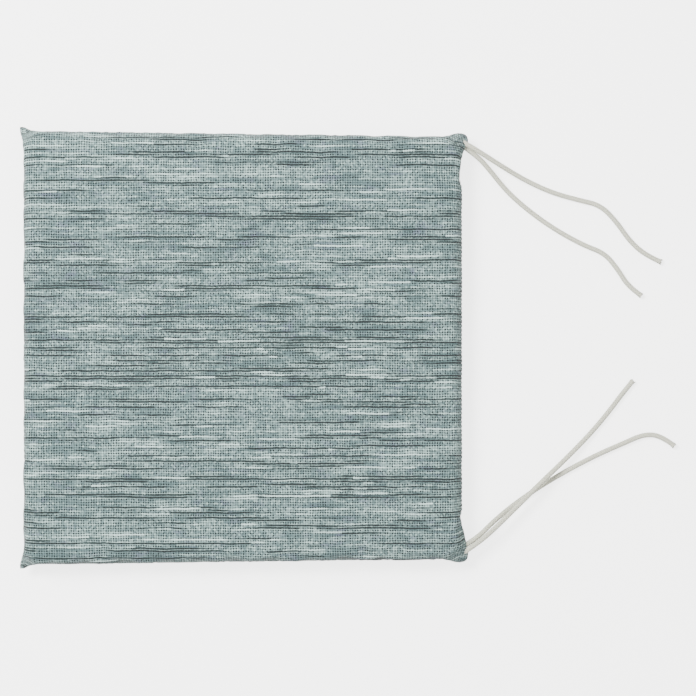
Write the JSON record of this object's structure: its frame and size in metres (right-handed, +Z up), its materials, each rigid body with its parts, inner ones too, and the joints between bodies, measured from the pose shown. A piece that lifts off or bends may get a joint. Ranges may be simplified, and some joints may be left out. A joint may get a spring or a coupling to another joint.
{
  "type": "chair seat pad",
  "caption": "Square foam chair seat pad in a woven seamed cover with eared corners, a recessed rear zip and braided tie cords at the rear corners.",
  "frame": {"origin": "centre of the pad's footprint (cover and ears, without the tie cords) on the surface it lies on", "axes": "+X to the rear, where the tie cords and the zip are; +Y to a sitter's right; +Z up"},
  "size_m": [0.6052, 0.4066, 0.03],
  "materials": {
    "cover_cloth": "matte",
    "foam": "matte",
    "sewing_thread": "satin",
    "zip_tape": "matte",
    "zip_coil": "satin",
    "zip_metal": "satin",
    "tie_braid": "matte"
  },
  "bodies": {
    "pad": {"cover_top_panel": "cover_cloth", "cover_bottom_panel": "cover_cloth", "foam_core": "foam", "seam_thread": "sewing_thread", "zip_tape_upper": "zip_tape", "zip_tape_lower": "zip_tape", "zip_coil_upper": "zip_coil", "zip_coil_lower": "zip_coil", "zip_top_stops": "zip_metal", "zip_bottom_stop": "zip_metal", "zip_stitching": "sewing_thread", "tie_right_outer": "tie_braid", "tie_right_inner": "tie_braid", "tie_left_outer": "tie_braid", "tie_left_inner": "tie_braid"},
    "slider": {"zip_slider": "zip_metal"},
    "pull_tab": {"zip_pull": "zip_metal"}
  },
  "joints": [
    {"name": "zip_slide", "type": "slide", "parent": "pad", "child": "slider", "axis": [0, -1, 0], "range_m": [0, 0.275]},
    {"name": "pull_swing", "type": "hinge", "parent": "slider", "child": "pull_tab", "pos_m": [0.19855, 0.1375, 0.015], "axis": [0, 0, 1], "range_deg": [0, 180]}
  ]
}
